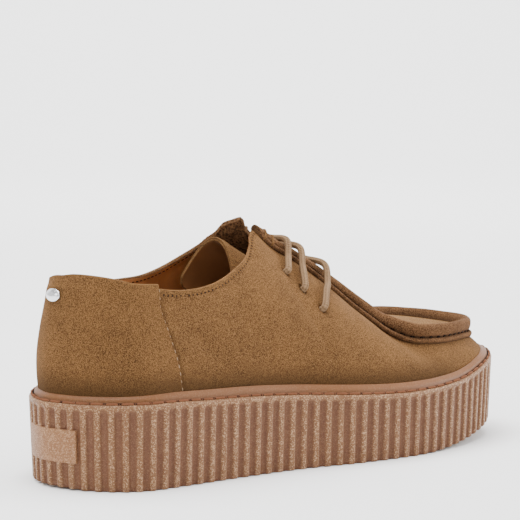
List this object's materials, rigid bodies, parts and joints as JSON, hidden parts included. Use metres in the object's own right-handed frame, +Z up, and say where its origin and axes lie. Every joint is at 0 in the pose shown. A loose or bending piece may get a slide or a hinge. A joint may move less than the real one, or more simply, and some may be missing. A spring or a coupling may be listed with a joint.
{
  "type": "lace-up suede platform shoe",
  "caption": "Right lace-up suede shoe with a hollow upper, raised moccasin seam, tongue and laces on a ribbed rubber platform sole.",
  "frame": {"origin": "middle of the platform's footprint, on the floor", "axes": "+X from heel to toe, +Y to the inner side of the foot, +Z up"},
  "size_m": [0.2762, 0.1068, 0.1155],
  "materials": {
    "sole_rubber": "ribbed glossy rubber with fine glitter",
    "welt_rubber": "smooth matte rubber",
    "lining_leather": "smooth lining leather",
    "upper_suede": "suede",
    "seam_suede": "gathered suede",
    "lace_cord": "braided cord",
    "stud_metal": "polished"
  },
  "bodies": {
    "root": {"platform_sole": "sole_rubber", "welt": "welt_rubber", "insole": "lining_leather", "upper": "upper_suede", "apron_seam": "seam_suede", "tongue": "upper_suede", "lace_upper": "lace_cord", "lace_middle": "lace_cord", "lace_lower": "lace_cord", "heel_stud": "stud_metal"}
  },
  "joints": []
}
